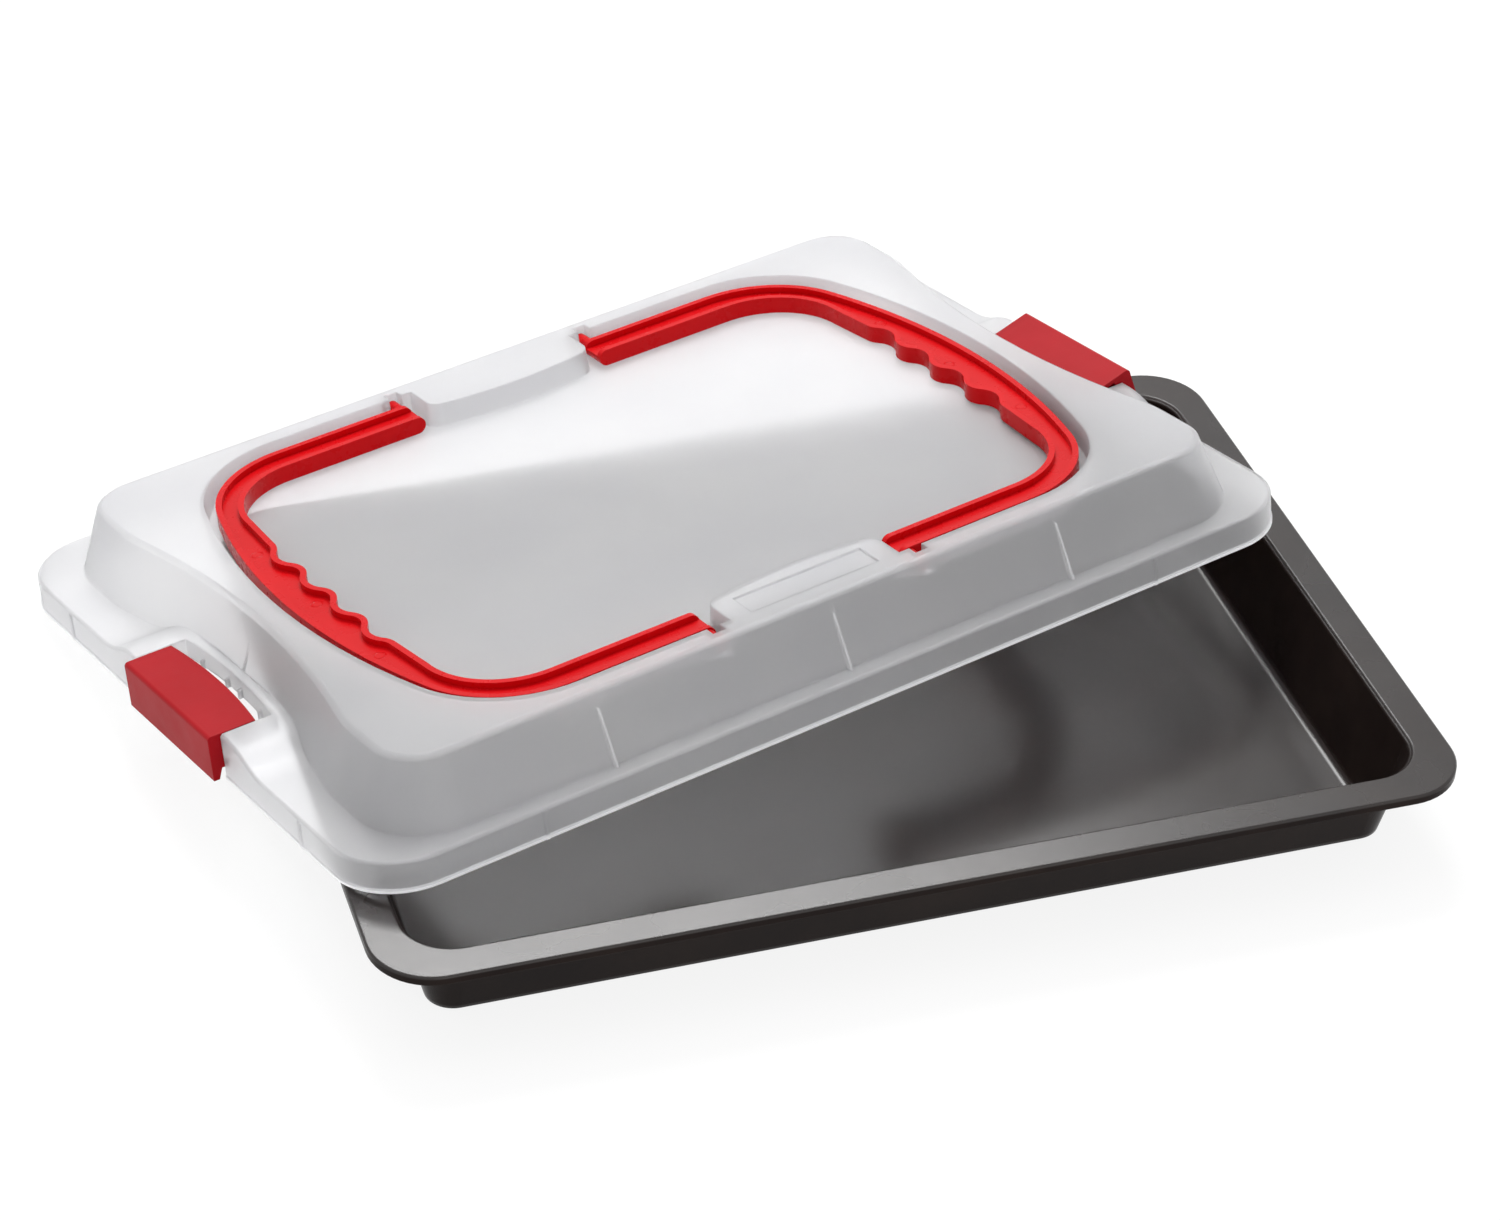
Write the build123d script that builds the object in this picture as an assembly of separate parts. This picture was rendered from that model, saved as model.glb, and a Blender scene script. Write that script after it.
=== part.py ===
from build123d import *
import math
import os

os.makedirs("parts", exist_ok=True)

# Baking tray with a clip-on carrying lid, in millimetres.
# The origin is the centre of the tray's base, +X runs along its long side and +Z is up.
# The lid lies askew over the tray. Its pieces are drawn in the lid's own frame, with the
# origin at its centre in the plane of the skirt's bottom edge, and are placed at the end.

# Tray: one pressed steel sheet
TRAY_LENGTH = 420.0
TRAY_WIDTH = 296.0
RIM_HEIGHT = 38.4
SHEET = 0.8
FLANGE_WIDTH = 14.8
RIM_CORNER = 25.0
WELL_CORNER = 19.0
WELL_DRAFT = 13.5
TURNED_EDGE = 3.6
FLOOR_FILLET = 3.5
MOUTH_CHAMFER = 1.4
RIM_CHAMFER = 0.7
BASE_CHAMFER = 2.2

# Lid: one thin moulding
LID_WALL = 1.5
LID_CLEARANCE = 0.3
SKIRT_HEIGHT = 13.0
SKIRT_CORNER = 28.0
BEAD_PROUD = 0.4
BEAD_HEIGHT = 1.5
SKIRT_CHAMFER = 1.0
DOME_HEIGHT = 27.6
DOME_DRAFT = 19.5
DOME_END_LAND = 16.5
DOME_SIDE_LAND = 8.4
DOME_CORNER = 29.0
DOME_TOP_CHAMFER = 1.8
HOLLOW_DEPTH = 10.3
HOLLOW_HALF_SPAN = 88.0
HOLLOW_BLEND = 70.0

# Recess in the top of the dome, in which the folded handles lie
RECESS_DEPTH = 10.2
RECESS_DRAFT = 5.0
RECESS_GAP = 4.4
BOSS_HALF_LENGTH = 38.5
BOSS_REACH = 21.0
BOSS_ARCH = 4.0
BOSS_CORNER = 6.0
PLATE_LENGTH = 58.0
PLATE_WIDTH = 13.0
PLATE_DEPTH = 0.8

# Raised platform at each short end, which carries a clip
PLATFORM_RISE = 6.5
PLATFORM_HALF_FLAT = 40.0
PLATFORM_RAMP = 28.0
WINDOW_GAP = 6.6
CUTOUT_CLEARANCE = 0.6

# Stiffening ribs and marks
WALL_RIB_PITCH = 104.0
WALL_RIB_THICK = 1.0
WALL_RIB_REACH = 2.6
WALL_RIB_HEIGHT = 20.0
END_RIB_REACH = 1.2
TICK_WIDTH = 1.5
TICK_PROUD = 0.6
TICK_SIDE_X = 139.0
TICK_END_Y = 97.0

# Carrying handles
HANDLE_HALF_WIDTH = 118.0
HANDLE_REACH = 160.5
HANDLE_HEIGHT = 7.2
HANDLE_BOW = 300.0
HANDLE_CORNER = 45.0
HANDLE_INNER_CORNER = 33.0
ARM_WIDTH = 14.0
GRIP_WIDTH = 19.3
GRIP_END_WIDTH = 21.0
SCALLOP_PITCH = 24.8
SCALLOP_DEPTH = 4.3
SCALLOPS = 4
HANDLE_RIM = 2.5
CHANNEL_DEPTH = 2.6
CHANNEL_FLOAT = 0.5
PIVOT_X = 46.0
PIVOT_RADIUS = 2.8
PIVOT_LENGTH = 4.0
PIVOT_CLEARANCE = 0.06
PIVOT_END_GAP = 0.4

# Clips
CLIP_WIDTH = 71.0
CLIP_DEPTH = 22.8
CLIP_PROUD = 5.0
CLIP_PLATE = 1.8
CLIP_WALL = 2.4
CLIP_BOW = 2.6
CLIP_BOTTOM = 0.5
CLIP_LIP = 2.6
CLIP_LIP_REACH = 1.6
CLIP_EDGE_RADIUS = 1.6
CLIP_CHEEK = 1.6
CLIP_CHEEK_DEPTH = 9.0
CLIP_PIN_RADIUS = 1.15
CLIP_PIN_CLEARANCE = 0.05
CLIP_BARREL = 2.1
CLIP_AXIS_INSET = 3.8
CLIP_AXIS_DROP = 2.3
HINGE_GAP = 0.3
EAR_THICK = 2.4
EAR_INNER_Y = 5.3
EAR_OUTER_Y = 24.0
HINGE_BAR_WIDTH = 8.6

# How the lid lies over the tray
LID_YAW = 16.17
LID_SHIFT_LEFT = 41.7
LID_CENTRE_FROM_BACK = 57.9
REST_GAP = 0.3
RIGHT_CLIP_AJAR = 15.0

# Sizes that follow from the ones above
LID_LENGTH = TRAY_LENGTH + 2 * (LID_WALL + LID_CLEARANCE)
LID_WIDTH = TRAY_WIDTH + 2 * (LID_WALL + LID_CLEARANCE)
FLANGE_UNDER = SKIRT_HEIGHT - LID_WALL
DOME_TOP = SKIRT_HEIGHT + DOME_HEIGHT
PANEL_TOP = DOME_TOP - RECESS_DEPTH
PLATFORM_TOP = SKIRT_HEIGHT + PLATFORM_RISE
HANDLE_BOTTOM = PANEL_TOP + CHANNEL_FLOAT
PIVOT_Z = HANDLE_BOTTOM + HANDLE_HEIGHT / 2
RECESS_HALF_WIDTH = HANDLE_HALF_WIDTH + RECESS_GAP
CLIP_OUTER = LID_LENGTH / 2 + CLIP_PROUD
CLIP_INNER = CLIP_OUTER - CLIP_DEPTH
CLIP_AXIS_X = CLIP_INNER + CLIP_AXIS_INSET
CLIP_AXIS_Z = PLATFORM_TOP - CLIP_PLATE - CLIP_AXIS_DROP
CLIP_LIP_TOP = FLANGE_UNDER - TURNED_EDGE - LID_CLEARANCE
CUTOUT_HALF_WIDTH = CLIP_WIDTH / 2 + CUTOUT_CLEARANCE
LID_X = -LID_SHIFT_LEFT
LID_Y = TRAY_WIDTH / 2 - LID_CENTRE_FROM_BACK
OVERCUT = 5.0


def rounded_slab(length, width, corner, height, taper=0.0):
    """A block of rounded plan that stands on z = 0, or hangs from it when height is negative."""
    return extrude(RectangleRounded(length, width, corner), amount=height, taper=taper)


def hanging(plan, depth, draft):
    """A drafted solid that narrows downwards from z = 0. Its plan is symmetric about X."""
    solid = extrude(plan, amount=depth, taper=draft)
    if solid.bounding_box().max.Z > depth / 2:
        solid = Rot(180, 0, 0) * solid
    return solid


def tray_well(grow, depth):
    """The pressed well as a solid that hangs from z = 0, grown sideways by grow."""
    length = TRAY_LENGTH - 2 * FLANGE_WIDTH + 2 * grow
    width = TRAY_WIDTH - 2 * FLANGE_WIDTH + 2 * grow
    return hanging(RectangleRounded(length, width, WELL_CORNER + grow), depth, WELL_DRAFT)


def baking_tray():
    """Sheet tray: a drafted well, a flat flange and a turned-down outer edge."""
    side_growth = SHEET / math.cos(math.radians(WELL_DRAFT))
    rim = rounded_slab(TRAY_LENGTH, TRAY_WIDTH, RIM_CORNER, -TURNED_EDGE)
    rim = chamfer(rim.edges().group_by(Axis.Z)[-1], RIM_CHAMFER)
    under_rim = rounded_slab(
        TRAY_LENGTH - 2 * SHEET, TRAY_WIDTH - 2 * SHEET, RIM_CORNER - SHEET, -TURNED_EDGE
    )
    outside = tray_well(side_growth, RIM_HEIGHT)
    outside = chamfer(outside.edges().group_by(Axis.Z)[0], BASE_CHAMFER)
    inside = tray_well(0, RIM_HEIGHT - SHEET)
    inside = fillet(inside.edges().group_by(Axis.Z)[0], FLOOR_FILLET)
    tray = rim - Pos(0, 0, -SHEET) * under_rim + outside - inside
    mouth_x = TRAY_LENGTH / 2 - FLANGE_WIDTH + SHEET
    mouth_y = TRAY_WIDTH / 2 - FLANGE_WIDTH + SHEET
    mouth = []
    for edge in tray.edges().filter_by_position(Axis.Z, -0.01, 0.01):
        middle = edge @ 0.5
        if abs(middle.X) < mouth_x and abs(middle.Y) < mouth_y:
            mouth.append(edge)
    return Pos(0, 0, RIM_HEIGHT) * chamfer(mouth, MOUTH_CHAMFER)


def bowed_plan(half_width, reach, bow, corner):
    """A plan with straight long sides at +/-half_width and ends that bow out to +/-reach."""
    bow_centre = reach - bow
    corner_y = half_width - corner
    corner_x = bow_centre + math.sqrt((bow - corner) ** 2 - corner_y**2)
    turn = math.atan2(corner_y, corner_x - bow_centre)
    join_x = bow_centre + bow * math.cos(turn)
    join_y = bow * math.sin(turn)
    middle = (math.pi / 2 + turn) / 2
    mid_x = corner_x + corner * math.cos(middle)
    mid_y = corner_y + corner * math.sin(middle)
    edges = []
    for side in (1, -1):
        edges.append(Line((-side * corner_x, side * half_width), (side * corner_x, side * half_width)))
        for end in (1, -1):
            edges.append(
                ThreePointArc(
                    (end * corner_x, side * half_width),
                    (end * mid_x, side * mid_y),
                    (end * join_x, side * join_y),
                )
            )
        edges.append(
            ThreePointArc((side * join_x, join_y), (side * reach, 0), (side * join_x, -join_y))
        )
    return make_face(edges)


def dome_plan():
    """Plan of the dome's foot: a rounded rectangle with a hollow in each short end."""
    half_length = LID_LENGTH / 2 - DOME_END_LAND
    half_width = LID_WIDTH / 2 - DOME_SIDE_LAND
    span = HOLLOW_HALF_SPAN
    waist = half_length - HOLLOW_DEPTH
    edges = []
    for side in (1, -1):
        edges.append(Line((-half_length, side * half_width), (half_length, side * half_width)))
        edges.append(ThreePointArc((side * half_length, -span), (side * waist, 0), (side * half_length, span)))
        for end in (1, -1):
            edges.append(Line((end * half_length, side * span), (end * half_length, side * half_width)))
    plan = make_face(edges)
    corners = plan.vertices().filter_by(lambda v: abs(v.Y) > half_width - 1)
    plan = fillet(corners, DOME_CORNER)
    blends = plan.vertices().filter_by(lambda v: abs(abs(v.Y) - span) < 0.1)
    return make_face(fillet(blends, HOLLOW_BLEND).edges())


def dome(inset, bottom, top):
    """The drafted dome between two heights, shrunk sideways by inset."""
    slope = math.tan(math.radians(DOME_DRAFT))
    growth = (SKIRT_HEIGHT - bottom) * slope - inset
    plan = dome_plan()
    if abs(growth) > 0.001:
        plan = offset(plan, growth)
    return Pos(0, 0, bottom) * extrude(plan, amount=top - bottom, taper=DOME_DRAFT)


def platform(drop):
    """Both raised end platforms as one bar along X, its top lowered by drop."""
    rise = PLATFORM_RISE
    run = PLATFORM_RAMP
    low = SKIRT_HEIGHT - drop
    high = PLATFORM_TOP - drop
    flat = PLATFORM_HALF_FLAT
    half_turn = math.atan(rise / run)
    radius = (rise**2 + run**2) / (4 * rise)
    lift = radius * (1 - math.cos(half_turn))
    shift = radius * math.sin(half_turn)
    edges = [Line((-flat, high), (flat, high))]
    for side in (1, -1):
        top = (side * flat, high)
        middle = (side * (flat + run / 2), (low + high) / 2)
        foot = (side * (flat + run), low)
        edges.append(ThreePointArc(top, (side * (flat + shift), high - lift), middle))
        edges.append(ThreePointArc(middle, (side * (flat + run - shift), low + lift), foot))
        edges.append(Line(foot, (side * (flat + run), 0)))
    edges.append(Line((-flat - run, 0), (flat + run, 0)))
    face = Plane.YZ * make_face(edges)
    half_length = LID_LENGTH / 2 - drop
    inside = LID_LENGTH / 2 - DOME_END_LAND - HOLLOW_DEPTH - LID_WALL
    bar = Pos(inside, 0, 0) * extrude(face, amount=half_length - inside)
    return bar + mirror(bar, about=Plane.YZ)


def recess_plan():
    """Plan of the recess: the handles' outline with room round it, less the two bosses."""
    plan = bowed_plan(
        RECESS_HALF_WIDTH,
        HANDLE_REACH + RECESS_GAP,
        HANDLE_BOW + RECESS_GAP,
        HANDLE_CORNER + RECESS_GAP,
    )
    inner = RECESS_HALF_WIDTH - BOSS_REACH
    side_y = inner + BOSS_ARCH
    outer = RECESS_HALF_WIDTH + OVERCUT
    half = BOSS_HALF_LENGTH
    boss = make_face(
        [
            Line((-half, outer), (half, outer)),
            Line((half, outer), (half, side_y)),
            ThreePointArc((half, side_y), (0, inner), (-half, side_y)),
            Line((-half, side_y), (-half, outer)),
        ]
    )
    boss = fillet(boss.vertices().filter_by(lambda v: v.Y < outer - 1), BOSS_CORNER)
    return plan - boss - mirror(boss, about=Plane.XZ)


def recess(grow, sink):
    """The recess as a solid, grown sideways by grow and sunk deeper by sink."""
    plan = recess_plan()
    if grow:
        plan = offset(plan, grow, kind=Kind.INTERSECTION)
    plan = make_face(plan.edges())
    return Pos(0, 0, DOME_TOP) * hanging(plan, RECESS_DEPTH + sink, RECESS_DRAFT)


def pivot_seats(grow):
    """Four seats in the border, into which the handles' pivots snap, or blocks round them."""
    radius = PIVOT_RADIUS + PIVOT_CLEARANCE + grow
    start = RECESS_HALF_WIDTH - LID_WALL
    end = HANDLE_HALF_WIDTH + PIVOT_LENGTH + RECESS_GAP + PIVOT_END_GAP + grow
    height = DOME_TOP - PIVOT_Z
    seats = []
    for end_x in (1, -1):
        for side in (1, -1):
            middle = side * (start + end) / 2
            if grow:
                seat = Pos(0, 0, (height - radius) / 2) * Box(2 * radius, end - start, height + radius)
            else:
                bore = Cylinder(radius, end - start, rotation=(90, 0, 0))
                seat = bore + Pos(0, 0, height / 2) * Box(2 * radius, end - start, height)
            seats.append(Pos(end_x * PIVOT_X, middle, PIVOT_Z) * seat)
    return seats


def clip_cutout_plan(grow):
    """Plan of the opening that a clip closes, open to the outside, at the +X end."""
    half = CUTOUT_HALF_WIDTH + grow
    corner_x = CLIP_INNER + CLIP_BOW - WINDOW_GAP - grow
    outer = CLIP_OUTER + OVERCUT
    return make_face(
        [
            Line((outer, -half), (outer, half)),
            Line((outer, half), (corner_x, half)),
            ThreePointArc((corner_x, half), (corner_x - CLIP_BOW, 0), (corner_x, -half)),
            Line((corner_x, -half), (outer, -half)),
        ]
    )


def hinge_bar():
    """Bar across a clip's opening, with two bored ears and two plain ones, at the +X end."""
    ear_radius = CLIP_AXIS_DROP - HINGE_GAP
    bar_x = CLIP_AXIS_X - ear_radius
    bar_length = 2 * CUTOUT_HALF_WIDTH + LID_WALL
    middle_x = bar_x + HINGE_BAR_WIDTH / 2
    middle_z = FLANGE_UNDER + LID_WALL / 2
    bar = Pos(middle_x, 0, middle_z) * Box(HINGE_BAR_WIDTH, bar_length, LID_WALL)
    stem = CLIP_AXIS_Z - middle_z
    post = Pos(0, 0, -stem / 2) * Box(2 * ear_radius, EAR_THICK, stem)
    ear = post + Cylinder(ear_radius, EAR_THICK, rotation=(90, 0, 0))
    ear = ear - Cylinder(CLIP_PIN_RADIUS + CLIP_PIN_CLEARANCE, EAR_THICK + 1, rotation=(90, 0, 0))
    for side in (1, -1):
        bar = bar + Pos(CLIP_AXIS_X, side * EAR_OUTER_Y, CLIP_AXIS_Z) * ear
        bar = bar + Pos(CLIP_AXIS_X, side * EAR_INNER_Y, CLIP_AXIS_Z) * post
    return bar


def window_frame():
    """Wall that lines a clip's opening, with four short gussets in the window, at the +X end."""
    wall_height = PLATFORM_TOP - FLANGE_UNDER - LID_WALL / 2
    lining = clip_cutout_plan(LID_WALL) - clip_cutout_plan(0)
    frame = Pos(0, 0, FLANGE_UNDER) * extrude(lining, amount=wall_height)
    keep_x = LID_LENGTH / 2 - LID_WALL / 2
    frame = frame & Pos(keep_x / 2, 0, 0) * Box(keep_x, LID_WIDTH, 4 * DOME_TOP)
    gusset_height = CLIP_AXIS_Z - FLANGE_UNDER
    gusset_x = CLIP_INNER + CLIP_BOW - WINDOW_GAP
    gusset = Box(WINDOW_GAP / 2, EAR_THICK / 2, gusset_height)
    for y in (-EAR_OUTER_Y, -EAR_INNER_Y, EAR_INNER_Y, EAR_OUTER_Y):
        shift = CLIP_BOW * (1 - (y / CUTOUT_HALF_WIDTH) ** 2)
        frame = frame + Pos(gusset_x - shift, y, FLANGE_UNDER + gusset_height / 2) * gusset
    return frame


def wall_rib(foot, reach):
    """A thin upright rib on the dome's wall at +Y, whose foot lies at that distance."""
    slope = math.tan(math.radians(DOME_DRAFT))
    low = SKIRT_HEIGHT - LID_WALL / 2
    high = SKIRT_HEIGHT + WALL_RIB_HEIGHT
    face = Plane.YZ * make_face(
        Polyline(
            (foot - LID_WALL / 2, low),
            (foot + reach, low),
            (foot + reach, SKIRT_HEIGHT),
            (foot - WALL_RIB_HEIGHT * slope, high),
            (foot - WALL_RIB_HEIGHT * slope - LID_WALL / 2, high),
            close=True,
        )
    )
    return Pos(-WALL_RIB_THICK / 2, 0, 0) * extrude(face, amount=WALL_RIB_THICK)


def wall_ribs():
    """Three ribs on each long wall of the dome and a slight one in each hollow end."""
    side_rib = wall_rib(LID_WIDTH / 2 - DOME_SIDE_LAND, WALL_RIB_REACH)
    end_rib = wall_rib(LID_LENGTH / 2 - DOME_END_LAND - HOLLOW_DEPTH, END_RIB_REACH)
    ribs = [Rot(0, 0, 90) * end_rib, Rot(0, 0, -90) * end_rib]
    for x in (-WALL_RIB_PITCH, 0, WALL_RIB_PITCH):
        ribs.append(Pos(x, 0, 0) * side_rib)
        ribs.append(Pos(x, 0, 0) * Rot(0, 0, 180) * side_rib)
    return ribs


def skirt_ticks():
    """Small upright marks on the outside of the skirt."""
    reach = TICK_PROUD + LID_WALL / 2
    height = SKIRT_HEIGHT - LID_WALL
    side_mark = Box(TICK_WIDTH, reach, height)
    end_mark = Box(reach, TICK_WIDTH, height)
    side_y = LID_WIDTH / 2 + TICK_PROUD - reach / 2
    end_x = LID_LENGTH / 2 + TICK_PROUD - reach / 2
    ticks = []
    for a in (1, -1):
        for b in (1, -1):
            ticks.append(Pos(a * TICK_SIDE_X, b * side_y, height / 2) * side_mark)
            ticks.append(Pos(a * end_x, b * TICK_END_Y, height / 2) * end_mark)
    return ticks


def skirt_top_edges(body):
    """Upper outer edges of the skirt and the platforms, all the way round."""
    half_length = LID_LENGTH / 2
    half_width = LID_WIDTH / 2
    found = []
    for edge in body.edges():
        middle = edge @ 0.5
        past_corner_x = abs(middle.X) > half_length - SKIRT_CORNER
        past_corner_y = abs(middle.Y) > half_width - SKIRT_CORNER
        on_side = abs(middle.X) > half_length - 0.01 or abs(middle.Y) > half_width - 0.01
        if middle.Z > SKIRT_HEIGHT - 0.01 and (on_side or (past_corner_x and past_corner_y)):
            found.append(edge)
    return found


def lid_shell():
    """Lid moulding: skirt, flange, hollow-ended dome, recess, bosses, platforms and hinge ears."""
    inner_length = LID_LENGTH - 2 * LID_WALL
    inner_width = LID_WIDTH - 2 * LID_WALL
    side_inset = LID_WALL / math.cos(math.radians(DOME_DRAFT))
    outer_dome = dome(0, SKIRT_HEIGHT, DOME_TOP)
    outer_dome = chamfer(outer_dome.edges().group_by(Axis.Z)[-1], DOME_TOP_CHAMFER)
    outer = rounded_slab(LID_LENGTH, LID_WIDTH, SKIRT_CORNER, SKIRT_HEIGHT)
    outer = outer + platform(0)
    outer = chamfer(skirt_top_edges(outer), SKIRT_CHAMFER)
    outer = outer + outer_dome
    bead = rounded_slab(
        LID_LENGTH + 2 * BEAD_PROUD, LID_WIDTH + 2 * BEAD_PROUD, SKIRT_CORNER + BEAD_PROUD, BEAD_HEIGHT
    )
    outer = outer + bead
    outer = outer - recess(0, 0) - pivot_seats(0)
    inner = dome(side_inset, FLANGE_UNDER, DOME_TOP - LID_WALL)
    inner = inner - recess(LID_WALL, LID_WALL) - pivot_seats(LID_WALL)
    skirt_hollow = rounded_slab(inner_length, inner_width, SKIRT_CORNER - LID_WALL, FLANGE_UNDER)
    shell = outer - inner - skirt_hollow - platform(LID_WALL)
    shell = shell + wall_ribs() + skirt_ticks()
    cutout = extrude(clip_cutout_plan(0), amount=2 * DOME_TOP, both=True)
    hinge = window_frame() + hinge_bar()
    shell = shell - cutout - mirror(cutout, about=Plane.YZ)
    shell = shell + hinge + mirror(hinge, about=Plane.YZ)
    plate_y = LID_WIDTH / 2 - DOME_SIDE_LAND - DOME_HEIGHT * math.tan(math.radians(DOME_DRAFT))
    plate_y = plate_y - DOME_TOP_CHAMFER - BOSS_REACH / 2 - PLATE_WIDTH / 4
    plate = Pos(0, -plate_y, DOME_TOP) * Box(PLATE_LENGTH, PLATE_WIDTH, 2 * PLATE_DEPTH)
    return shell - plate


def scalloped_edge(inset):
    """Inner edge of the grip from -Y to +Y: tangent arcs that make crests and finger scallops.

    The crests are round about centres in the grip, so drawing the edge in by inset makes their
    radius smaller, and that of the scallops larger.
    """
    half_pitch = SCALLOP_PITCH / 2
    turn = 2 * math.atan(SCALLOP_DEPTH / half_pitch)
    radius = half_pitch / (2 * math.sin(turn))
    crest_x = HANDLE_REACH - GRIP_WIDTH
    edges = []
    for step in range(-SCALLOPS, SCALLOPS + 1):
        crest = step % 2 == 0
        facing = -1 if crest else 1
        centre_x = crest_x + radius if crest else crest_x + SCALLOP_DEPTH - radius
        bend = radius - inset if crest else radius + inset
        first = 0 if step == -SCALLOPS else -turn
        last = 0 if step == SCALLOPS else turn
        points = []
        for angle in (first, (first + last) / 2, last):
            x = centre_x + facing * bend * math.cos(angle)
            points.append((x, step * half_pitch + bend * math.sin(angle)))
        edges.append(ThreePointArc(*points))
    return edges


def handle_plan(inset, start):
    """Plan of a carrying handle at the +X end from x = start, drawn in from its edges by inset."""
    outer = bowed_plan(
        HANDLE_HALF_WIDTH - inset,
        HANDLE_REACH - inset,
        HANDLE_BOW - inset,
        HANDLE_CORNER - inset,
    )
    inner_y = HANDLE_HALF_WIDTH - ARM_WIDTH + inset
    end_x = HANDLE_REACH - GRIP_END_WIDTH + inset
    corner = HANDLE_INNER_CORNER + inset
    corner_x = end_x - corner
    corner_y = inner_y - corner
    diagonal = corner * math.sqrt(0.5)
    edges = scalloped_edge(inset)
    for side, point in ((-1, edges[0] @ 0), (1, edges[-1] @ 1)):
        edges.append(Line(point, (end_x, side * corner_y)))
        edges.append(
            ThreePointArc(
                (end_x, side * corner_y),
                (corner_x + diagonal, side * (corner_y + diagonal)),
                (corner_x, side * inner_y),
            )
        )
        edges.append(Line((corner_x, side * inner_y), (0, side * inner_y)))
    edges.append(Line((0, -inner_y), (0, inner_y)))
    keep = Pos(start + HANDLE_REACH, 0) * Rectangle(2 * HANDLE_REACH, 4 * HANDLE_HALF_WIDTH)
    return (outer - make_face(edges)) & keep


def carrying_handle():
    """Handle at the +X end: channelled bail with rounded arm ends and moulded pivots."""
    arm_y = HANDLE_HALF_WIDTH - ARM_WIDTH / 2
    top = HANDLE_BOTTOM + HANDLE_HEIGHT
    body = Pos(0, 0, HANDLE_BOTTOM) * extrude(handle_plan(0, PIVOT_X), amount=HANDLE_HEIGHT)
    for side in (1, -1):
        end = Cylinder(HANDLE_HEIGHT / 2, ARM_WIDTH, rotation=(90, 0, 0))
        body = body + Pos(PIVOT_X, side * arm_y, PIVOT_Z) * end
    channel = handle_plan(HANDLE_RIM, PIVOT_X - HANDLE_HEIGHT)
    body = body - Pos(0, 0, top - CHANNEL_DEPTH) * extrude(channel, amount=CHANNEL_DEPTH)
    pivot_y = HANDLE_HALF_WIDTH - HANDLE_RIM / 2
    pivot_length = HANDLE_RIM / 2 + PIVOT_LENGTH + RECESS_GAP
    for side in (1, -1):
        pivot = Cylinder(PIVOT_RADIUS, pivot_length, rotation=(90, 0, 0))
        body = body + Pos(PIVOT_X, side * (pivot_y + pivot_length / 2), PIVOT_Z) * pivot
    return body


def clip():
    """Clip at the +X end, closed: bowed top plate, outer wall, hooked lip, cheeks and barrels."""
    half = CLIP_WIDTH / 2
    corner_x = CLIP_INNER + CLIP_BOW
    plate_plan = make_face(
        [
            Line((CLIP_OUTER, -half), (CLIP_OUTER, half)),
            Line((CLIP_OUTER, half), (corner_x, half)),
            ThreePointArc((corner_x, half), (CLIP_INNER, 0), (corner_x, -half)),
            Line((corner_x, -half), (CLIP_OUTER, -half)),
        ]
    )
    plate = Pos(0, 0, PLATFORM_TOP - CLIP_PLATE) * extrude(plate_plan, amount=CLIP_PLATE)
    wall_height = PLATFORM_TOP - CLIP_BOTTOM
    wall_middle = (PLATFORM_TOP + CLIP_BOTTOM) / 2
    wall = Pos(CLIP_OUTER - CLIP_WALL / 2, 0, wall_middle) * Box(CLIP_WALL, CLIP_WIDTH, wall_height)
    body = plate + wall
    outer_edge = body.edges().filter_by(Axis.Y).sort_by(lambda e: e.center().X + e.center().Z)[-1]
    body = fillet(outer_edge, CLIP_EDGE_RADIUS)
    lip_inner = TRAY_LENGTH / 2 - CLIP_LIP_REACH
    lip_length = CLIP_OUTER - CLIP_WALL / 2 - lip_inner
    lip_middle = lip_inner + lip_length / 2
    lip = Box(lip_length, CLIP_WIDTH, CLIP_LIP)
    body = body + Pos(lip_middle, 0, CLIP_LIP_TOP - CLIP_LIP / 2) * lip
    cheek_face = Plane.XZ * make_face(
        Polyline(
            (CLIP_OUTER - CLIP_WALL / 2, CLIP_BOTTOM),
            (CLIP_OUTER - CLIP_WALL, CLIP_BOTTOM),
            (CLIP_OUTER - CLIP_CHEEK_DEPTH, PLATFORM_TOP - CLIP_PLATE / 2),
            (CLIP_OUTER - CLIP_WALL / 2, PLATFORM_TOP - CLIP_PLATE),
            close=True,
        )
    )
    cheek = extrude(cheek_face, amount=CLIP_CHEEK)
    body = body + Pos(0, half, 0) * cheek + Pos(0, CLIP_CHEEK - half, 0) * cheek
    barrel_length = EAR_OUTER_Y - EAR_INNER_Y - EAR_THICK - 2 * HINGE_GAP
    barrel_y = (EAR_OUTER_Y + EAR_INNER_Y) / 2
    barrel = Cylinder(CLIP_BARREL, barrel_length, rotation=(90, 0, 0))
    neck = CLIP_AXIS_DROP + CLIP_PLATE / 2
    barrel = barrel + Pos(0, 0, neck / 2) * Box(2 * CLIP_BARREL, barrel_length, neck)
    pin_length = 2 * HINGE_GAP + EAR_THICK
    pin = Cylinder(CLIP_PIN_RADIUS, pin_length, rotation=(90, 0, 0))
    for side in (1, -1):
        body = body + Pos(CLIP_AXIS_X, side * barrel_y, CLIP_AXIS_Z) * barrel
        body = body + Pos(CLIP_AXIS_X, side * EAR_OUTER_Y, CLIP_AXIS_Z) * pin
    return body


def opened(piece, angle):
    """A +X clip turned outwards about its hinge by angle degrees."""
    hinge = Pos(CLIP_AXIS_X, 0, CLIP_AXIS_Z)
    return hinge * Rot(0, -angle, 0) * hinge.inverse() * piece


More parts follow.
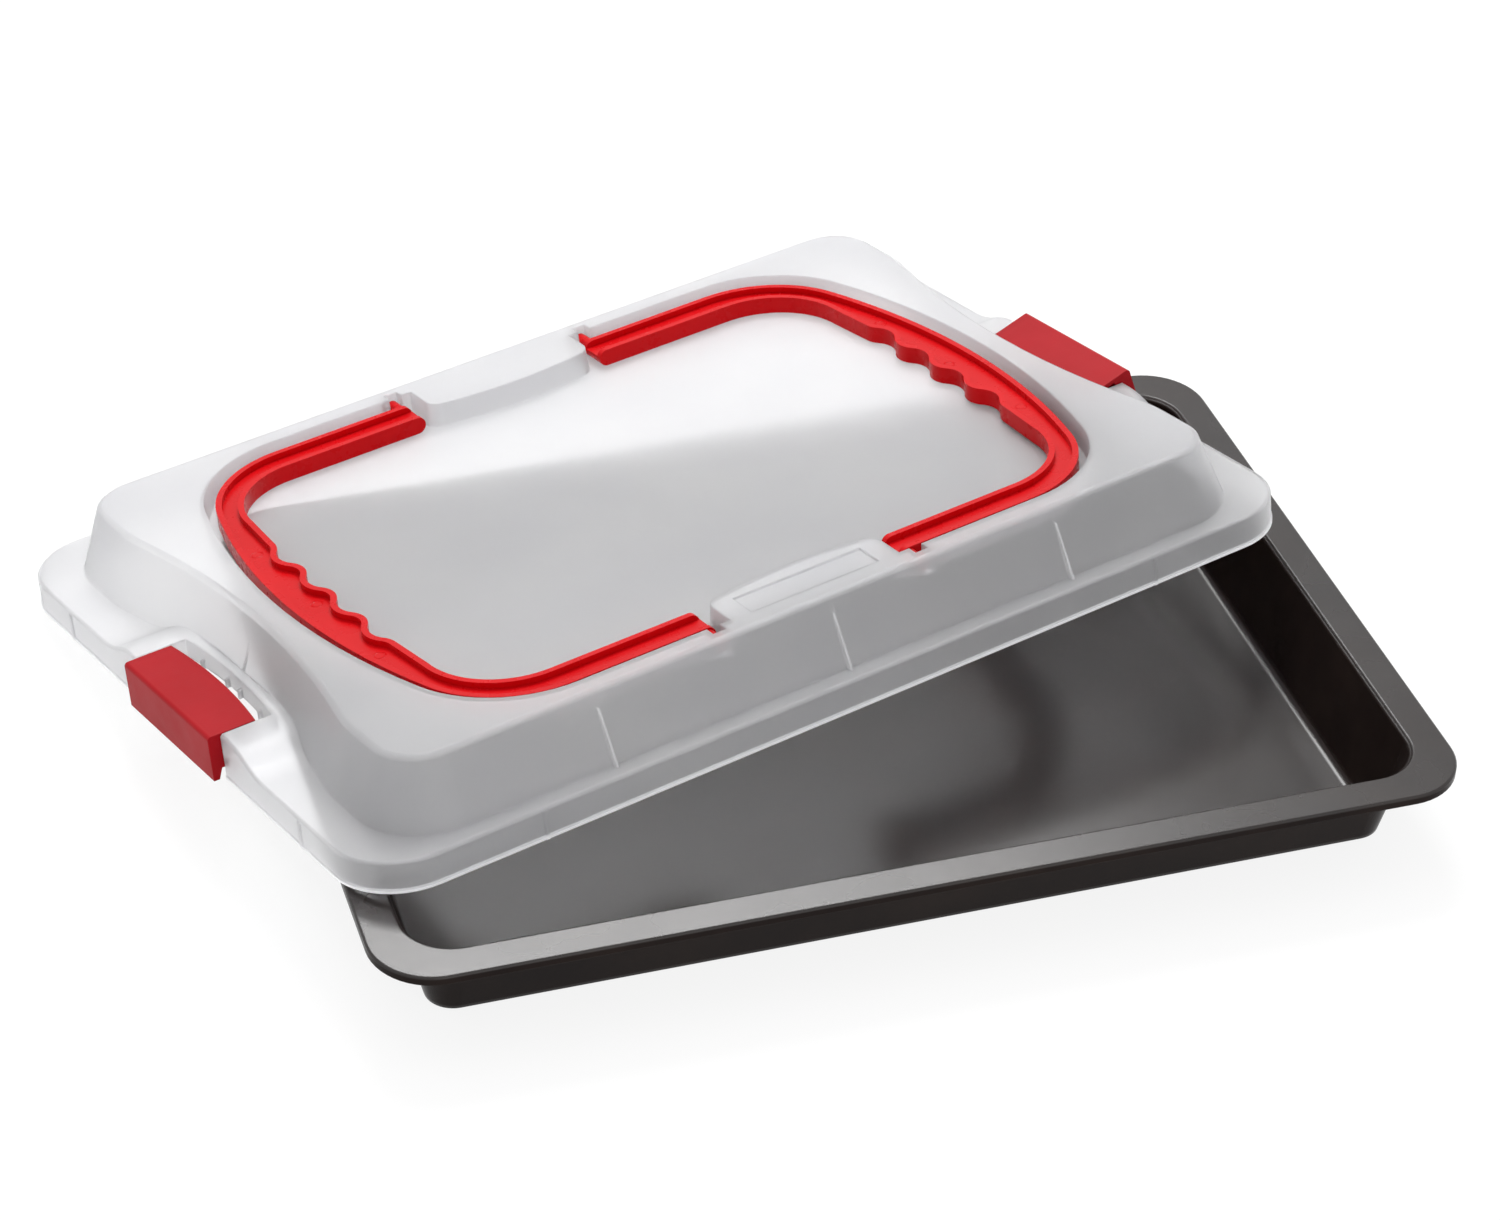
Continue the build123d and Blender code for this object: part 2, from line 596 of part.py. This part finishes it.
def turned(point_x, point_z, angle):
    """Where a clip's point lies after the clip has turned outwards by angle degrees."""
    dx = point_x - CLIP_AXIS_X
    dz = point_z - CLIP_AXIS_Z
    turn = math.radians(angle)
    x = CLIP_AXIS_X + dx * math.cos(turn) - dz * math.sin(turn)
    z = CLIP_AXIS_Z + dx * math.sin(turn) + dz * math.cos(turn)
    return x, z


def resting_tilt():
    """Pitch, roll and height at which the lid rests on the left rim, the back rim and the floor.

    The skirt's left wall crosses the tray's left edge, the right clip's bottom edge crosses
    the tray's back edge, and the far left corner of the skirt stands on the floor.
    """
    yaw = math.radians(LID_YAW)
    left_x = LID_WALL - LID_LENGTH / 2
    clip_x, clip_z = turned(CLIP_OUTER - CLIP_WALL, CLIP_BOTTOM, RIGHT_CLIP_AJAR)
    arc_x = SKIRT_CORNER - LID_LENGTH / 2
    arc_y = LID_WIDTH / 2 - SKIRT_CORNER
    corner = SKIRT_CORNER + BEAD_PROUD
    rim = RIM_HEIGHT + REST_GAP
    pitch, roll, height = 0.0, 0.0, 0.0
    for _ in range(12):
        sin_p, cos_p = math.sin(pitch), math.cos(pitch)
        sin_r, cos_r = math.sin(roll), math.cos(roll)
        x_from_y = math.cos(yaw) * sin_p * sin_r - math.sin(yaw) * cos_r
        y_from_x = math.sin(yaw) * cos_p
        y_from_y = math.sin(yaw) * sin_p * sin_r + math.cos(yaw) * cos_r
        y_from_z = math.sin(yaw) * sin_p * cos_r - math.cos(yaw) * sin_r
        left_y = (-TRAY_LENGTH / 2 - LID_X - math.cos(yaw) * cos_p * left_x) / x_from_y
        clip_y = (TRAY_WIDTH / 2 - LID_Y - y_from_x * clip_x - y_from_z * clip_z) / y_from_y
        slope = math.hypot(sin_p, cos_p * sin_r) or 1.0
        floor_x = arc_x + corner * sin_p / slope
        floor_y = arc_y - corner * cos_p * sin_r / slope if roll else arc_y + corner
        rise_clip = rim - cos_p * cos_r * clip_z
        dx1, dy1, dz1 = clip_x - left_x, clip_y - left_y, rise_clip - rim
        dx2, dy2, dz2 = floor_x - left_x, floor_y - left_y, REST_GAP - rim
        area = dx1 * dy2 - dx2 * dy1
        slope_x = (dz1 * dy2 - dz2 * dy1) / area
        slope_y = (dx1 * dz2 - dx2 * dz1) / area
        pitch = -math.asin(slope_x)
        roll = math.asin(slope_y / math.cos(pitch))
        height = rim - slope_x * left_x - slope_y * left_y
    return math.degrees(pitch), math.degrees(roll), height


def lid_place():
    """Location that takes the lid's own frame to where it lies."""
    pitch, roll, height = resting_tilt()
    print("lid rest: yaw %.4f pitch %.4f roll %.4f" % (LID_YAW, pitch, roll))
    print("lid rest: origin %.4f %.4f %.4f" % (LID_X, LID_Y, height))
    return Pos(LID_X, LID_Y, height) * Rot(0, 0, LID_YAW) * Rot(0, pitch, 0) * Rot(roll, 0, 0)


def save(piece, name):
    """Write one piece to its own file."""
    export_step(piece, "parts/" + name + ".step")


place = lid_place()
right_handle = carrying_handle()
right_clip = clip()

save(baking_tray(), "baking_tray")
save(place * lid_shell(), "lid_shell")
save(place * right_handle, "handle_right")
save(place * mirror(right_handle, about=Plane.YZ), "handle_left")
save(place * opened(right_clip, RIGHT_CLIP_AJAR), "clip_right")
save(place * mirror(right_clip, about=Plane.YZ), "clip_left")
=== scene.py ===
import math

import bpy
from mathutils import Matrix, Vector

# Camera, fitted to the edges of the tray and the lid, in degrees and metres
VIEW_AZIMUTH = -18.33
VIEW_ELEVATION = 36.36
VIEW_ROLL = 1.67
VIEW_DISTANCE = 1.635
VIEW_SHIFT_RIGHT = -0.0283
VIEW_SHIFT_UP = 0.0201
VIEW_HEIGHT = 0.030
FOCAL_PIXELS = 4204.0
IMAGE_WIDTH = 1500.0
SENSOR = 36.0

# Light and backdrop
WORLD_LEVEL = 0.76
SHOWN_LEVEL = 1.0
KEY_WATTS = 8.5
BACK_WATTS = 41.0
FRONT_WATTS = 8.0
FLOOR_SIZE = 30.0
FLOOR_DROP = 0.0004
FLOOR_GREY = 0.86
FLOOR_GLOW = 1.04
FLOOR_GLOW_SHARE = 0.82
WHITE = (1, 1, 1, 1)

# The lid's own directions as it lies, and where its middle and bottom edge are along them
LID_UP = (-0.0661234, 0.1294099, 0.9893840)
LID_ALONG = (0.9600697, 0.2783810, 0.0277524)
LID_ACROSS = (-0.2718342, 0.9517128, -0.1426495)
BEAD_BOTTOM = 0.0410345
LID_MIDDLE_ALONG = -0.0142062
LID_MIDDLE_ACROSS = 0.0932470

# Milky places of the lid: its bottom bead and the ribs of its long walls, which also carry a
# painted highlight as a faint glow
BEAD_HEIGHT = 0.0008
BEAD_FADE = 0.0004
RIB_PITCH = 0.104
RIB_HALF_THICK = 0.0005
RIB_FROM_MIDDLE = 0.130
RIB_LOWEST = 0.0132
RIB_HIGHEST = 0.034
RIB_MILK_AND_HIGHLIGHT = 0.35
# Painted highlight: strength of the faint glow on the bead and ribs
PAINTED_EDGE_HIGHLIGHT = 0.16
CLEAR_SHARE = 0.77
MILKY_SHARE = 0.20

# Ejector marks on the handles' grips
MARK_X = 0.149
MARK_PITCH = 0.050
MARK_RADIUS = 0.0022
MARK_WIDTH = 0.0004

# Sheen of the coating, by height on the tray: painted shade where the walls get almost none,
# painted sheen on the floor and the rim
FLOOR_PAINTED_SHEEN = 0.24
WALL_PAINTED_SHADE_SHEEN = 0.03
RIM_PAINTED_SHEEN = 0.25
RIM_ROUGHER = 0.03
FLOOR_FADE_START = 0.0015
FLOOR_FADE_END = 0.0040
RIM_HEIGHT = 0.0384
RIM_FADE_START = RIM_HEIGHT - 0.0012
RIM_FADE_END = RIM_HEIGHT - 0.0004

RED_SHEEN = 0.12

# The part of a noise's range that its values mostly fill
NOISE_LOW = 0.3
NOISE_HIGH = 0.7


def srgb(red, green, blue):
    """Linear colour of an sRGB colour given from 0 to 255."""
    values = []
    for value in (red, green, blue):
        share = value / 255.0
        low = share / 12.92
        high = ((share + 0.055) / 1.055) ** 2.4
        values.append(low if share <= 0.04045 else high)
    return (values[0], values[1], values[2], 1.0)


def new_material(name):
    """A material with one Principled shader, its node tree and that shader."""
    material = bpy.data.materials.new(name)
    material.use_nodes = True
    tree = material.node_tree
    return material, tree, tree.nodes["Principled BSDF"]


def node(tree, kind, **values):
    """A new node with its properties set from keyword values."""
    made = tree.nodes.new(kind)
    for key, value in values.items():
        setattr(made, key, value)
    return made


def combined(tree, operation, first, second):
    """Two values, or a value and a number, put together by one operation."""
    made = node(tree, "ShaderNodeMath", operation=operation)
    for socket, value in zip(made.inputs, (first, second)):
        if isinstance(value, float):
            socket.default_value = value
        else:
            tree.links.new(value, socket)
    return made.outputs[0]


def size_of(tree, source):
    """A value without its sign."""
    return combined(tree, "ABSOLUTE", source, 0.0)


def between(tree, source, start, end, first, last):
    """A value that runs from first to last as the source runs from start to end."""
    made = node(tree, "ShaderNodeMapRange")
    made.inputs["From Min"].default_value = start
    made.inputs["From Max"].default_value = end
    made.inputs["To Min"].default_value = first
    made.inputs["To Max"].default_value = last
    tree.links.new(source, made.inputs["Value"])
    return made.outputs["Result"]


def spread(tree, source, low, high):
    """A noise mapped to a range from low to high."""
    return between(tree, source, NOISE_LOW, NOISE_HIGH, low, high)


def object_place(tree):
    """Place in the object's own coordinates, in metres."""
    return node(tree, "ShaderNodeTexCoord").outputs["Object"]


def height_above_floor(tree):
    """Height of a point of the tray, in metres."""
    parts = node(tree, "ShaderNodeSeparateXYZ")
    tree.links.new(object_place(tree), parts.inputs[0])
    return parts.outputs["Z"]


def along_lid(tree, direction, start):
    """Distance along one of the lid's own directions, in metres."""
    dot = node(tree, "ShaderNodeVectorMath", operation="DOT_PRODUCT")
    dot.inputs[1].default_value = direction
    tree.links.new(object_place(tree), dot.inputs[0])
    return combined(tree, "SUBTRACT", dot.outputs["Value"], start)


def noise(tree, scale, detail, roughness=0.5):
    """Noise in object coordinates, with the scale in features per metre."""
    made = node(tree, "ShaderNodeTexNoise")
    made.inputs["Scale"].default_value = scale
    made.inputs["Detail"].default_value = detail
    made.inputs["Roughness"].default_value = roughness
    tree.links.new(object_place(tree), made.inputs["Vector"])
    return made.outputs["Fac"]


def tinted(tree, shader, source, stops):
    """Base colour from a ramp of (position, colour) stops."""
    made = node(tree, "ShaderNodeValToRGB")
    ends = made.color_ramp.elements
    ends[0].position, ends[0].color = stops[0]
    ends[1].position, ends[1].color = stops[-1]
    for position, colour in stops[1:-1]:
        ends.new(position).color = colour
    tree.links.new(source, made.inputs["Fac"])
    tree.links.new(made.outputs["Color"], shader.inputs["Base Color"])


def soft_edges(tree, shader, radius):
    """Edges shaded as if they were rounded by that radius."""
    made = node(tree, "ShaderNodeBevel", samples=6)
    made.inputs["Radius"].default_value = radius
    tree.links.new(made.outputs["Normal"], shader.inputs["Normal"])


def bump(tree, shader, source, strength, distance):
    """Bump from a height source, chained onto what already shapes the normal."""
    made = node(tree, "ShaderNodeBump")
    made.inputs["Strength"].default_value = strength
    made.inputs["Distance"].default_value = distance
    tree.links.new(source, made.inputs["Height"])
    if shader.inputs["Normal"].links:
        before = shader.inputs["Normal"].links[0].from_socket
        tree.links.new(before, made.inputs["Normal"])
    tree.links.new(made.outputs["Normal"], shader.inputs["Normal"])


def tray_material():
    """Dark satin non-stick coating with a fine orange-peel grain, faint mottling, and a sheen
    painted by height: painted shade on the well's walls, painted sheen on the floor and rim.
    """
    material, tree, shader = new_material("nonstick_coating")
    soft_edges(tree, shader, radius=0.0008)
    mottle = noise(tree, scale=26.0, detail=4.0, roughness=0.6)
    stops = [(0.3, srgb(25, 19, 18)), (0.5, srgb(30, 23, 21)), (0.72, srgb(36, 28, 25))]
    tinted(tree, shader, mottle, stops)
    shader.inputs["Metallic"].default_value = 0.0
    shader.inputs["IOR"].default_value = 1.7
    # Painted shade and sheen: the specular level follows height, almost none on the well's walls
    # and more on the floor and rim
    height = height_above_floor(tree)
    painted_well_sheen = between(tree, height, FLOOR_FADE_START, FLOOR_FADE_END, FLOOR_PAINTED_SHEEN, WALL_PAINTED_SHADE_SHEEN)
    painted_rim_sheen = between(tree, height, RIM_FADE_START, RIM_FADE_END, 0.0, RIM_PAINTED_SHEEN)
    tree.links.new(combined(tree, "ADD", painted_well_sheen, painted_rim_sheen), shader.inputs["Specular IOR Level"])
    patch = spread(tree, noise(tree, scale=30.0, detail=3.0), 0.225, 0.255)
    rougher = between(tree, height, RIM_FADE_START, RIM_FADE_END, 0.0, RIM_ROUGHER)
    tree.links.new(combined(tree, "ADD", patch, rougher), shader.inputs["Roughness"])
    grain = noise(tree, scale=1500.0, detail=3.0, roughness=0.6)
    bump(tree, shader, grain, strength=0.07, distance=0.0004)
    dents = noise(tree, scale=60.0, detail=1.0)
    bump(tree, shader, dents, strength=0.012, distance=0.0008)
    return material


def milky_and_painted_highlight_places(tree):
    """Mask of milkiness and of a painted highlight: one on the lid's bottom bead, less on the
    ribs of its long walls, and nothing elsewhere.
    """
    height = along_lid(tree, LID_UP, BEAD_BOTTOM)
    bead = between(tree, height, BEAD_HEIGHT, BEAD_HEIGHT + BEAD_FADE, 1.0, 0.0)
    x = along_lid(tree, LID_ALONG, LID_MIDDLE_ALONG)
    y = size_of(tree, along_lid(tree, LID_ACROSS, LID_MIDDLE_ACROSS))
    off_rib = combined(tree, "PINGPONG", combined(tree, "ADD", x, RIB_PITCH), RIB_PITCH / 2)
    rib = combined(tree, "LESS_THAN", off_rib, RIB_HALF_THICK)
    limits = (
        ("GREATER_THAN", y, RIB_FROM_MIDDLE),
        ("GREATER_THAN", height, RIB_LOWEST),
        ("LESS_THAN", height, RIB_HIGHEST),
    )
    for operation, source, limit in limits:
        rib = combined(tree, "MULTIPLY", rib, combined(tree, operation, source, limit))
    return combined(tree, "MAXIMUM", bead, combined(tree, "MULTIPLY", rib, RIB_MILK_AND_HIGHLIGHT))


def lid_material():
    """Frosted translucent polypropylene, milkier along its thick bottom bead, with a painted
    highlight glowing faintly on the bead and ribs.
    """
    material, tree, shader = new_material("frosted_plastic")
    soft_edges(tree, shader, radius=0.0012)
    cloud = noise(tree, scale=18.0, detail=3.0)
    tinted(tree, shader, cloud, [(0.3, srgb(238, 238, 240)), (0.7, srgb(243, 243, 244))])
    haze = noise(tree, scale=60.0, detail=4.0, roughness=0.6)
    tree.links.new(spread(tree, haze, 0.34, 0.40), shader.inputs["Roughness"])
    milky_and_painted_highlight = milky_and_painted_highlight_places(tree)
    clear = between(tree, milky_and_painted_highlight, 0.0, 1.0, CLEAR_SHARE, MILKY_SHARE)
    tree.links.new(clear, shader.inputs["Transmission Weight"])
    # Painted highlight: the bead and the ribs glow faintly
    glow = between(tree, milky_and_painted_highlight, 0.0, 1.0, 0.0, PAINTED_EDGE_HIGHLIGHT)
    tree.links.new(glow, shader.inputs["Emission Strength"])
    shader.inputs["Emission Color"].default_value = WHITE
    shader.inputs["IOR"].default_value = 1.25
    shader.inputs["Specular IOR Level"].default_value = 0.5
    bump(tree, shader, noise(tree, scale=900.0, detail=2.0), strength=0.05, distance=0.0003)
    return material


def red_plastic(name, dark, bright, rough_low, rough_high):
    """Moulded red plastic with slight colour flow and uneven gloss."""
    material, tree, shader = new_material(name)
    flow = noise(tree, scale=22.0, detail=3.0, roughness=0.55)
    tinted(tree, shader, flow, [(0.3, dark), (0.7, bright)])
    skin = noise(tree, scale=90.0, detail=4.0, roughness=0.6)
    tree.links.new(spread(tree, skin, rough_low, rough_high), shader.inputs["Roughness"])
    shader.inputs["IOR"].default_value = 1.49
    shader.inputs["Specular IOR Level"].default_value = RED_SHEEN
    return material, tree, shader


def ejector_marks(tree, shader):
    """Three faint round marks of ejector pins on each grip."""
    x = size_of(tree, along_lid(tree, LID_ALONG, LID_MIDDLE_ALONG))
    y = along_lid(tree, LID_ACROSS, LID_MIDDLE_ACROSS)
    near_y = combined(tree, "PINGPONG", combined(tree, "ADD", y, 2 * MARK_PITCH), MARK_PITCH / 2)
    place = node(tree, "ShaderNodeCombineXYZ")
    tree.links.new(combined(tree, "SUBTRACT", x, MARK_X), place.inputs["X"])
    tree.links.new(near_y, place.inputs["Y"])
    distance = node(tree, "ShaderNodeVectorMath", operation="LENGTH")
    tree.links.new(place.outputs[0], distance.inputs[0])
    off_ring = size_of(tree, combined(tree, "SUBTRACT", distance.outputs["Value"], MARK_RADIUS))
    ring = between(tree, off_ring, 0.0, MARK_WIDTH, 1.0, 0.0)
    on_grip = combined(tree, "LESS_THAN", size_of(tree, y), 1.5 * MARK_PITCH)
    marks = combined(tree, "MULTIPLY", ring, on_grip)
    bump(tree, shader, marks, strength=0.5, distance=0.0004)


def handle_material():
    """Glossier red plastic with a fine skin and ejector marks."""
    material, tree, shader = red_plastic(
        "handle_red", srgb(188, 5, 12), srgb(197, 9, 17), rough_low=0.24, rough_high=0.32
    )
    bump(tree, shader, noise(tree, scale=700.0, detail=2.0), strength=0.05, distance=0.0003)
    ejector_marks(tree, shader)
    return material


def clip_material():
    """Deeper red plastic with a matt grain and softened edges."""
    material, tree, shader = red_plastic(
        "clip_red", srgb(150, 7, 17), srgb(160, 12, 23), rough_low=0.42, rough_high=0.50
    )
    soft_edges(tree, shader, radius=0.0007)
    bump(tree, shader, noise(tree, scale=1200.0, detail=2.0), strength=0.10, distance=0.0003)
    return material


def dress(frame):
    """Gives each CAD node its finished material."""
    handle = handle_material()
    clip = clip_material()
    looks = {
        "baking_tray": tray_material(),
        "lid_shell": lid_material(),
        "handle_left": handle,
        "handle_right": handle,
        "clip_left": clip,
        "clip_right": clip,
    }
    for name, material in looks.items():
        mesh = frame["nodes"][name].data
        mesh.materials.clear()
        mesh.materials.append(material)


def make_camera():
    """Camera at the photograph's place, with its slight roll."""
    azimuth = math.radians(VIEW_AZIMUTH)
    elevation = math.radians(VIEW_ELEVATION)
    roll = math.radians(VIEW_ROLL)
    back = Vector(
        (
            math.sin(azimuth) * math.cos(elevation),
            -math.cos(azimuth) * math.cos(elevation),
            math.sin(elevation),
        )
    )
    right = (-back).cross(Vector((0, 0, 1))).normalized()
    up = right.cross(-back).normalized()
    target = Vector((0, 0, VIEW_HEIGHT)) + right * VIEW_SHIFT_RIGHT + up * VIEW_SHIFT_UP
    turned_right = right * math.cos(roll) + up * math.sin(roll)
    turned_up = up * math.cos(roll) - right * math.sin(roll)
    data = bpy.data.cameras.new("camera")
    data.sensor_width = SENSOR
    data.lens = FOCAL_PIXELS / IMAGE_WIDTH * SENSOR
    data.clip_start = 0.05
    data.clip_end = 50.0
    camera = bpy.data.objects.new("camera", data)
    bpy.context.scene.collection.objects.link(camera)
    place = Matrix((turned_right, turned_up, back)).transposed().to_4x4()
    place.translation = target + back * VIEW_DISTANCE
    camera.matrix_world = place
    bpy.context.scene.camera = camera


def area_lamp(name, place, target, width, height, watts):
    """Rectangular soft lamp that faces its target."""
    data = bpy.data.lights.new(name, "AREA")
    data.shape = "RECTANGLE"
    data.size = width
    data.size_y = height
    data.energy = watts
    lamp = bpy.data.objects.new(name, data)
    bpy.context.scene.collection.objects.link(lamp)
    lamp.location = place
    direction = Vector(target) - Vector(place)
    lamp.rotation_mode = "QUATERNION"
    lamp.rotation_quaternion = direction.to_track_quat("-Z", "Y")


def make_lights():
    """A broad overhead key, a softbox behind and a weak fill from the front."""
    area_lamp("key", (-0.5, 0.5, 2.0), (0, 0.05, 0), 1.8, 1.6, KEY_WATTS)
    area_lamp("back_softbox", (0.31, 1.47, 1.97), (0, 0, 0), 1.0, 0.9, BACK_WATTS)
    area_lamp("front_fill", (0.2, -2.1, 0.9), (0, 0, 0), 1.6, 0.8, FRONT_WATTS)


def seen(tree):
    """One for camera, glossy and transmission rays, and nothing for the others."""
    path = node(tree, "ShaderNodeLightPath")
    through = combined(
        tree, "MAXIMUM", path.outputs["Is Camera Ray"], path.outputs["Is Transmission Ray"]
    )
    return combined(tree, "MAXIMUM", through, path.outputs["Is Glossy Ray"])


def mixed(tree, share, first, second):
    """Mix of two shaders, with the share of the second."""
    mix = node(tree, "ShaderNodeMixShader")
    tree.links.new(share, mix.inputs[0])
    tree.links.new(first, mix.inputs[1])
    tree.links.new(second, mix.inputs[2])
    return mix.outputs[0]


def background(tree, level):
    """Even white background of one strength."""
    made = node(tree, "ShaderNodeBackground")
    made.inputs["Color"].default_value = WHITE
    made.inputs["Strength"].default_value = level
    return made.outputs[0]


def make_world():
    """Studio that is seen and mirrored as plain white and lights evenly."""
    world = bpy.data.worlds.new("studio")
    bpy.context.scene.world = world
    world.use_nodes = True
    tree = world.node_tree
    tree.nodes.clear()
    out = node(tree, "ShaderNodeOutputWorld")
    lit = background(tree, WORLD_LEVEL)
    shown = background(tree, SHOWN_LEVEL)
    tree.links.new(mixed(tree, seen(tree), lit, shown), out.inputs["Surface"])


def make_floor():
    """White floor that reads as the white background and keeps a faint shadow."""
    bpy.ops.mesh.primitive_plane_add(size=FLOOR_SIZE, location=(0, 0, -FLOOR_DROP))
    floor = bpy.context.object
    floor.name = "floor"
    material = bpy.data.materials.new("floor_white")
    material.use_nodes = True
    tree = material.node_tree
    tree.nodes.clear()
    out = node(tree, "ShaderNodeOutputMaterial")
    plain = node(tree, "ShaderNodeBsdfDiffuse")
    plain.inputs["Color"].default_value = (FLOOR_GREY, FLOOR_GREY, FLOOR_GREY, 1)
    glow = node(tree, "ShaderNodeEmission")
    glow.inputs["Color"].default_value = WHITE
    glow.inputs["Strength"].default_value = FLOOR_GLOW
    share = combined(tree, "MULTIPLY", seen(tree), FLOOR_GLOW_SHARE)
    result = mixed(tree, share, plain.outputs[0], glow.outputs[0])
    tree.links.new(result, out.inputs["Surface"])
    floor.data.materials.append(material)


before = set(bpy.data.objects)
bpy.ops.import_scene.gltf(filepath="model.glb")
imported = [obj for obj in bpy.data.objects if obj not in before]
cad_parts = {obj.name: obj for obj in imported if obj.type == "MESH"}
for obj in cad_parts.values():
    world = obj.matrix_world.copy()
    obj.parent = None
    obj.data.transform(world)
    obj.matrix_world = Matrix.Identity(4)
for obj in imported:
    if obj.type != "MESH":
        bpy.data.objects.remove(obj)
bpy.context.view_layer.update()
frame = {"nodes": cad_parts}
bpy.context.scene.view_settings.view_transform = "Standard"
make_camera()
make_world()
make_floor()
make_lights()
dress(frame)
